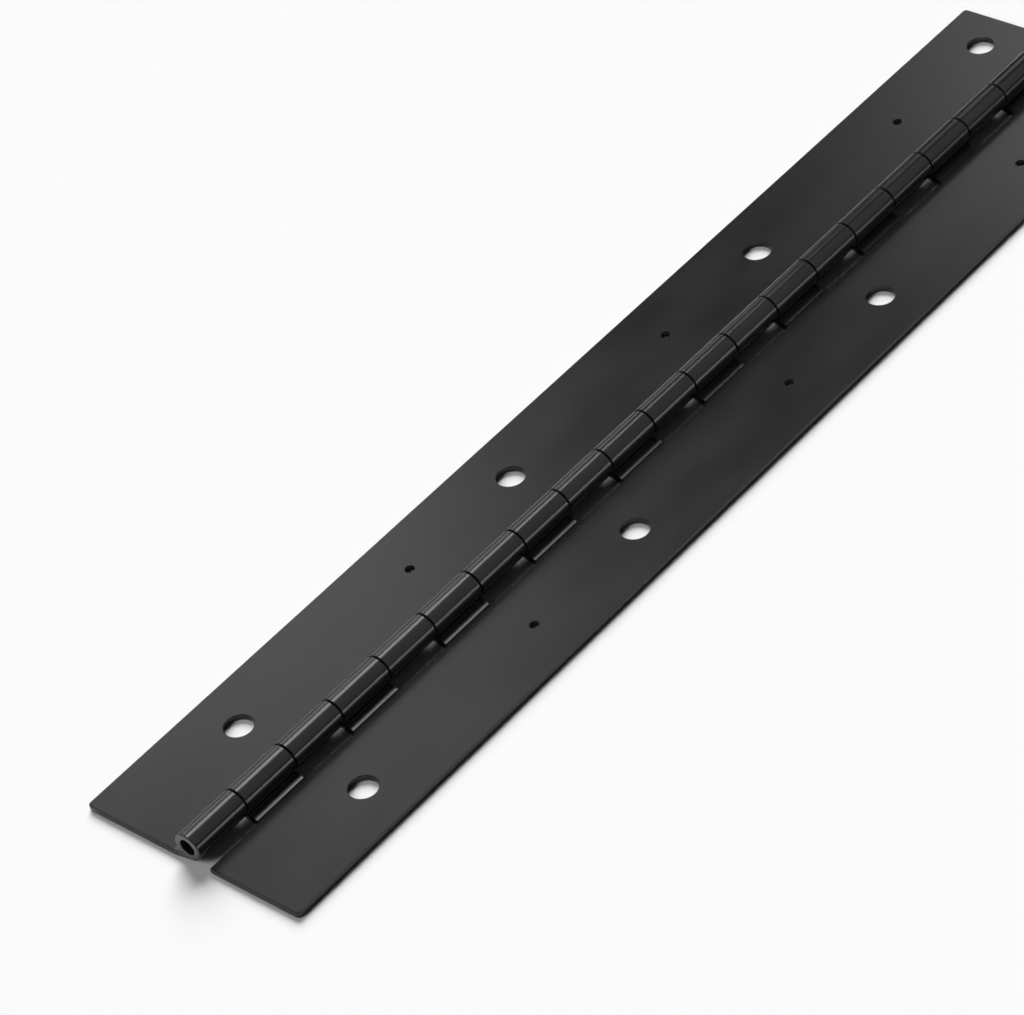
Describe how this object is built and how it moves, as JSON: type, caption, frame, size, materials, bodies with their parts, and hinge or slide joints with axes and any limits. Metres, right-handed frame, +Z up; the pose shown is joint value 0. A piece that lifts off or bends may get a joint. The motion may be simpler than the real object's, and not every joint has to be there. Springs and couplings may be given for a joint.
{
  "type": "piano hinge",
  "caption": "Continuous hinge: two flat leaves with interlocking rolled knuckles on one pin, round screw holes and small tack holes in a row on each leaf.",
  "frame": {"origin": "on the plane of the leaves' undersides, under the middle of the pin", "axes": "+Y along the pin, +Z up to the barrel side, +X towards the leaf with the even knuckles"},
  "size_m": [0.0508, 0.2664, 0.0068],
  "materials": {
    "black_paint": "semi-gloss black paint on sheet steel",
    "dark_steel": "blackened drawn wire"
  },
  "bodies": {
    "left_half": {"left_leaf": "black_paint", "hinge_pin": "dark_steel"},
    "right_half": {"right_leaf": "black_paint"}
  },
  "joints": [
    {"name": "hinge_fold", "type": "hinge", "parent": "left_half", "child": "right_half", "pos_m": [0, 0, 0.00391], "axis": [0, -1, 0], "range_deg": [-95, 180]}
  ]
}
